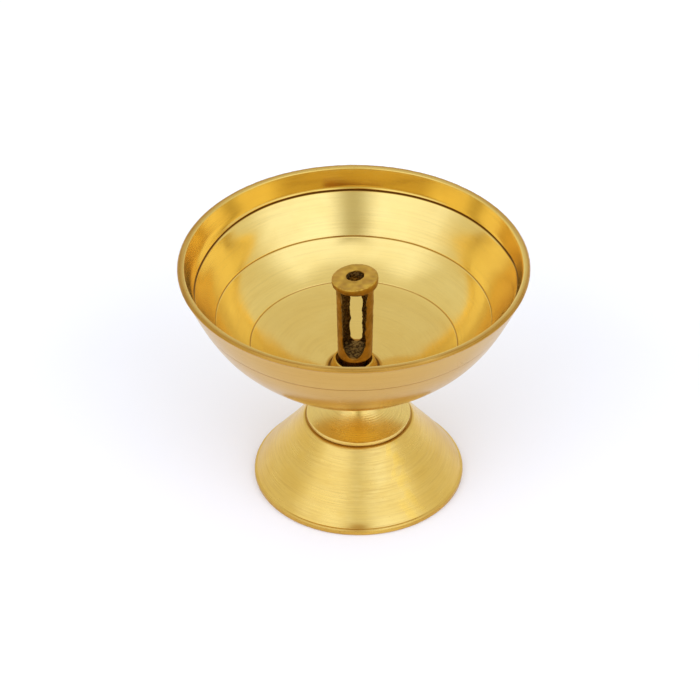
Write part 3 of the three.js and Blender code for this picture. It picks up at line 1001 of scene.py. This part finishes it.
class LAMP_OT_base(Operator):
    """Turn the neck spool and the flared foot"""

    bl_idname = "lamp.base"
    bl_label = "Neck and foot"

    def execute(self, context):
        settings = context.scene.oil_lamp
        self.neck(settings)
        self.foot(settings)
        return {"FINISHED"}

    def neck(self, settings):
        outline = neck_outline()
        flange = outline.nearest(NECK_FLANGE_RADIUS, FOOT_TOP + 0.6)
        waist = outline.nearest(NECK_WAIST_RADIUS, NECK_WAIST_HEIGHT)

        def swell(along, angle):
            """Fine tool ridges on the cove, of uneven height."""
            cove = bell(along - waist, 9.5, 6)
            pitch = along / 0.58 + 0.12 * ripple(51, along, angle, 9.0, 4)
            ridge = np.cos(2 * math.pi * pitch) * (0.6 + 0.4 * ripple(52, along, angle, 5.0, 3))
            return 0.013 * cove * ridge + 0.012 * ripple(53, along, angle, 12.0, 5)

        def finish(along, angle):
            """A painted shadow at the joint under the flange, and a painted reflection: a redder streak
                    down the front.
            """
            # A painted shadow under the flange.
            joint = bell(along - flange + 0.62, 0.22)
            # A painted reflection: a redder, golden streak down the side that faces the front.
            front = bell(np.degrees(angle) - 270, 25)
            return 0.05 + 0.5 * front + 0 * along, 0.45 * joint + 0.1 * front, 0.12 + 0 * angle

        points, faces, lathe, weights = turned(
            outline, outline.rows(0.16), 240, BASE_SHIFT, swell, finish)
        material = lathe_brass("neck brass", settings, smooth=0.24, rough=0.34, line_pitch=0.24,
                               line_depth=0.014, anisotropy=0.75, deepness=0.3, lines=1.2)
        piece("neck_spool", points, faces, material, "neck", "lamp", lathe, weights)

    def foot(self, settings):
        outline = foot_outline()
        start = outline.nearest(*FLARE_START)
        joint = outline.nearest(NECK_FLANGE_RADIUS + 0.25, FOOT_TOP)
        edge = outline.nearest(FOOT_RADIUS, 0.8)

        def swell(along, angle):
            """Chatter: uneven turning ripples that wander round the cone.

            The seats stay true: the waves fade out at the resting ring and at the boss.
            """
            radius, height = outline.at(along)
            loose = np.clip(height / 1.2, 0, 1) * np.clip((radius - FOOT_BOSS_RADIUS - 0.3) / 3, 0, 1)
            cone = past(along - start - 0.3, 6)
            pitch = along / 1.05 + 0.35 * ripple(61, along, angle, 16.0, 5)
            chatter = np.cos(2 * math.pi * pitch) * (0.55 + 0.45 * ripple(62, along, angle, 8.0, 6))
            fine = np.cos(2 * math.pi * along / 0.47) * (0.5 + 0.5 * ripple(63, along, angle, 4.0, 3))
            waves = loose * ripple(64, along, angle, 14.0, 9)
            return settings.foot_chatter * (cone * (chatter + 0.35 * fine) + 0.9 * waves)

        def finish(along, angle):
            """A redder bottom band, a shaded joint, golden streaks up the cone and a pale front.

                    The golden streaks and a dark spot low at the front are painted reflections, and the pale
                    front is a painted highlight.
            """
            turn = np.degrees(angle) - 270
            # Painted reflections: golden streaks up the cone on either side of the front.
            streak = 0.85 * bell(turn - 27 - 0.15 * along, 9) + 0.3 * bell(turn + 24, 8)
            streak = np.clip(streak * (1 + 0.4 * ripple(66, along, angle, 5.0, 40)), 0, 1)
            band = bell(along - edge, 0.9, 4)
            shade = 0.5 * bell(along - joint, 0.22)
            # A painted highlight: the front is paler.
            pale = bell(turn - 12, 15)
            # A painted reflection: a dark spot low at the front.
            spot = 0.35 * bell(turn, 6) * bell(along - start - 0.4, 0.9)
            warm = np.maximum(np.maximum(0.8 * band, streak), 0.5 - 0.35 * pale)
            stain_and_shade = 0.15 - 0.11 * pale + 0.15 * band + shade + spot
            return warm, stain_and_shade, 0.2 + 0.5 * band + 0 * angle

        points, faces, lathe, weights = turned(
            outline, outline.rows(0.24, marks=(start,)), 264, BASE_SHIFT, swell, finish)
        material = lathe_brass("foot brass", settings, smooth=0.28, rough=0.42, line_pitch=0.3,
                               line_depth=0.012, anisotropy=0.45, deepness=0.8, lines=1.0)
        piece("foot_cone", points, faces, material, "foot", "lamp", lathe, weights)


# ---------------------------------------------------------------- fasteners

def thread(angle, height):
    """How far a right-hand thread's flank lies below its crest.

    The phase is the height in pitches less the angle in turns, and the flank is a triangle wave of
    that phase with a flattened crest and root.
    """
    phase = np.mod(height / THREAD_PITCH - angle / (2 * math.pi), 1.0)
    wave = np.abs(2 * phase - 1)
    return THREAD_DEPTH * np.clip((wave - 0.12) / 0.74, 0, 1)


class LAMP_OT_fasteners(Operator):
    """Make the threaded stud, the washer and the hexagon nut under the foot"""

    bl_idname = "lamp.fasteners"
    bl_label = "Stud, washer and nut"

    def execute(self, context):
        settings = context.scene.oil_lamp
        metal = screw_metal("fastener brass", settings)
        self.stud(metal)
        self.washer(metal)
        self.nut(metal)
        return {"FINISHED"}

    def stud(self, metal):
        """A rod whose radius follows the thread, fading out at its chamfered ends."""
        section = np.array([
            (0.3, STUD_END), (THREAD_RADIUS - 0.5, STUD_END), (THREAD_RADIUS, STUD_END + 0.5),
            (THREAD_RADIUS, STUD_TOP - 0.5), (THREAD_RADIUS - 0.5, STUD_TOP), (0.3, STUD_TOP)])
        outline = Outline(section, ring=False)

        def swell(along, angle):
            radius, height = outline.at(along)
            side = np.clip((radius - THREAD_RADIUS + 0.5) / 0.5, 0, 1)
            return -thread(angle, height) * side

        points, faces, lathe, weights = turned(outline, outline.rows(0.09), 64, swell=swell)
        piece("threaded_stud", points, faces, metal, "tie_stud", "lamp", lathe, weights)

    def washer(self, metal):
        bottom = foot_of("washer")
        section = softened([
            (WASHER_BORE, bottom), (WASHER_RADIUS, bottom), (WASHER_RADIUS, WASHER_TOP),
            (WASHER_BORE, WASHER_TOP)], 0.16, ring=True)
        outline = Outline(section, ring=True)

        def swell(along, angle):
            """A faint unevenness of the punched sheet."""
            return 0.006 * ripple(71, along, angle, 2.0, 7)

        points, faces, lathe, weights = turned(outline, outline.rows(0.25), 120, swell=swell)
        piece("plain_washer", points, faces, metal, "washer", "washer", lathe, weights)

    def nut(self, metal):
        """A hexagon whose corners are cut by a cone, with a threaded bore.

        At each angle the side's radius is the flat's distance over the cosine of the angle from the
        flat's middle. The ends fall away by the tangent of thirty degrees beyond the flats' circle.
        """
        columns, flat = 180, NUT_FLATS / 2
        angle = np.arange(columns) * (2 * math.pi / columns)
        sixth = math.pi / 3
        side = flat / np.cos(np.mod(angle, sixth) - sixth / 2)
        fall = (side - flat) * math.tan(math.radians(30)) + 0.02
        bore_height = np.linspace(NUT_TOP - 0.45, NUT_END + 0.45, 44)
        crest = THREAD_RADIUS + THREAD_CLEARANCE
        bore = [(crest - thread(angle, level), level + 0 * angle) for level in bore_height]
        round_way = 0 * angle
        mouth = crest + 0.15 + round_way
        rings = [
            (mouth, NUT_END + round_way), (flat - 0.35 + round_way, NUT_END + round_way),
            (flat - 0.1 + round_way, NUT_END + 0.01 + round_way), (side - 0.05, NUT_END + fall * 0.97),
            (side, NUT_END + fall + 0.06), (side, NUT_END + fall + 0.3),
            (side, NUT_TOP - fall - 0.3), (side, NUT_TOP - fall - 0.06),
            (side - 0.05, NUT_TOP - fall * 0.97), (flat - 0.1 + round_way, NUT_TOP - 0.01 + round_way),
            (flat - 0.35 + round_way, NUT_TOP + round_way), (mouth, NUT_TOP + round_way)] + bore
        radius = np.array([ring[0] for ring in rings])
        height = np.array([ring[1] for ring in rings])
        points = np.stack([radius * np.cos(angle), radius * np.sin(angle), height], axis=-1)
        lathe = np.stack([np.cos(angle) + 0 * radius, np.sin(angle) + 0 * radius, height], axis=-1)
        obj = piece("hex_nut", points.reshape(-1, 3), skin_faces(len(rings), columns, ring=True), metal,
                    "nut", "nut", lathe.reshape(-1, 3), np.zeros((radius.size, 3)))
        obj.data.set_sharp_from_angle(angle=math.radians(28))


# ---------------------------------------------------------------- stage

def area_light(name, place, aim, size, glow):
    """A rectangular softbox whose surface has the given radiance: power is pi times area times it."""
    data = bpy.data.lights.new(name, "AREA")
    data.shape = "RECTANGLE"
    data.size, data.size_y = size
    data.energy = math.pi * size[0] * size[1] * glow
    obj = bpy.data.objects.new(name, data)
    obj.location = place
    obj.rotation_euler = (Vector(aim) - Vector(place)).to_track_quat("-Z", "Y").to_euler()
    bpy.context.scene.collection.objects.link(obj)
    return obj


def around(azimuth, elevation, distance):
    """A place at an azimuth to the right of the front, an elevation and a distance, in metres."""
    turn, rise = math.radians(azimuth), math.radians(elevation)
    return (distance * math.cos(rise) * math.sin(turn), -distance * math.cos(rise) * math.cos(turn),
            distance * math.sin(rise) + 0.04)


class LAMP_OT_stage(Operator):
    """Set the floor, the softboxes, the pale room and the camera"""

    bl_idname = "lamp.stage"
    bl_label = "Floor, lights and camera"

    def execute(self, context):
        settings = context.scene.oil_lamp
        scene = context.scene
        self.floor()
        self.camera(scene)
        scene.world = self.light_tent(settings)
        for name, azimuth in (("left_fill", -FILL_AZIMUTH), ("right_fill", FILL_AZIMUTH)):
            place = around(azimuth, FILL_ELEVATION, FILL_DISTANCE)
            fill = area_light(name, place, (0, 0, 0), FILL_SIZE, settings.floor_fill)
            fill.visible_glossy = False
        scene.view_settings.view_transform = "Standard"
        return {"FINISHED"}

    def light_tent(self, settings):
        """A pale tent with a soft-edged bright window on either side of the front.

        A direction's radiance is the room's plus the softboxes' times two windows: one in the angle
        away from the front, with a gap in the middle that closes higher up, and one in elevation.
        The windows' cores are brighter by a quarter, and the tint makes both clearly blue. The room
        is a quarter dimmer in the gap.
        """
        world = bpy.data.worlds.new("light tent")
        n = Nodes(world)
        x, y, z = n.parts(n.add("ShaderNodeTexCoord").outputs["Generated"])[:3]
        away = n.math("ABSOLUTE", n.math("ARCTAN2", x, n.math("MULTIPLY", y, -1.0)))
        rise = n.math("ARCSINE", z)

        def soft(angle, start, stop):
            """Nothing at the first angle and one at the second, in degrees."""
            return n.span(angle, math.radians(start), math.radians(stop))

        opening = n.math("MAXIMUM", soft(away, 1, 21), soft(rise, 34, 46))
        across = n.math("MULTIPLY", opening, soft(away, 85, 58))
        up = n.math("MULTIPLY", soft(rise, 4, 14), soft(rise, 66, 50))
        core = n.math("MULTIPLY", soft(away, 56, 32), soft(rise, 40, 24))
        window = n.math("MULTIPLY", n.math("MULTIPLY", across, up), n.math("MULTIPLY_ADD", core, 0.25, 1.0))
        room = n.math("MULTIPLY", n.math("MULTIPLY_ADD", opening, 0.25, 0.75), settings.surroundings)
        glow = n.add("ShaderNodeVectorMath", operation="MULTIPLY_ADD")
        n.link(window, glow.inputs[0])
        glow.inputs[1].default_value = [settings.softbox * tint for tint in settings.softbox_tint]
        n.link(room, glow.inputs[2])
        back = n.add("ShaderNodeBackground")
        back.inputs["Strength"].default_value = 1.0
        n.link(glow.outputs[0], back.inputs["Color"])
        n.link(back.outputs[0], n.add("ShaderNodeOutputWorld").inputs["Surface"])
        return world

    def floor(self):
        """A wide pale disc."""
        count = 96
        angle = np.arange(count) * (2 * math.pi / count)
        rim = np.stack([FLOOR_RADIUS * np.cos(angle), FLOOR_RADIUS * np.sin(angle), 0 * angle], axis=1)
        mesh = bpy.data.meshes.new("floor")
        mesh.from_pydata(rim.tolist(), [], [list(range(count))])
        n = Nodes(bpy.data.materials.new("pale floor"))
        shader = n.add("ShaderNodeBsdfPrincipled")
        output = n.add("ShaderNodeOutputMaterial")
        cloud = n.noise(n.object_place(), 3.0)
        n.link(n.mix(cloud, FLOOR_GREY, FLOOR_WHITE), shader.inputs["Base Color"])
        shader.inputs["Roughness"].default_value = 0.9
        shader.inputs["Specular IOR Level"].default_value = 0.1
        n.link(shader.outputs[0], output.inputs[0])
        mesh.materials.append(n.owner)
        obj = bpy.data.objects.new("floor", mesh)
        bpy.context.scene.collection.objects.link(obj)

    def camera(self, scene):
        """A long lens from above the front, rolled by a fifth of a degree."""
        data = bpy.data.cameras.new("camera")
        data.sensor_width = 36.0
        data.lens = CAMERA_LENS
        data.clip_start = 0.01
        elevation = math.radians(CAMERA_ELEVATION)
        turn = Matrix.Rotation(math.pi / 2 - elevation, 4, "X")
        turn = turn @ Matrix.Rotation(math.radians(CAMERA_ROLL), 4, "Z")
        away = Vector((0, -math.cos(elevation), math.sin(elevation)))
        place = Vector(CAMERA_TARGET) + away * CAMERA_DISTANCE
        obj = bpy.data.objects.new("camera", data)
        obj.matrix_world = Matrix.Translation(place) @ turn
        scene.collection.objects.link(obj)
        scene.camera = obj


# ---------------------------------------------------------------- panel and main

STEPS = ("stage", "bowl", "socket", "holder", "base", "fasteners")


class LAMP_PT_panel(Panel):
    """Lists the lamp's settings and its operators"""

    bl_idname = "LAMP_PT_panel"
    bl_label = "Oil lamp"
    bl_space_type = "VIEW_3D"
    bl_region_type = "UI"
    bl_category = "Oil Lamp"

    def draw(self, context):
        settings = context.scene.oil_lamp
        for name in LampSettings.__annotations__:
            self.layout.prop(settings, name)
        for step in STEPS:
            self.layout.operator("lamp." + step)


CLASSES = (
    LampSettings, LAMP_OT_stage, LAMP_OT_bowl, LAMP_OT_socket, LAMP_OT_holder, LAMP_OT_base,
    LAMP_OT_fasteners, LAMP_PT_panel)


def register():
    for cls in CLASSES:
        bpy.utils.register_class(cls)
    bpy.types.Scene.oil_lamp = PointerProperty(type=LampSettings)


def unregister():
    del bpy.types.Scene.oil_lamp
    for cls in reversed(CLASSES):
        bpy.utils.unregister_class(cls)


def main():
    register()
    for step in STEPS:
        getattr(bpy.ops.lamp, step)()


if __name__ == "__main__":
    main()
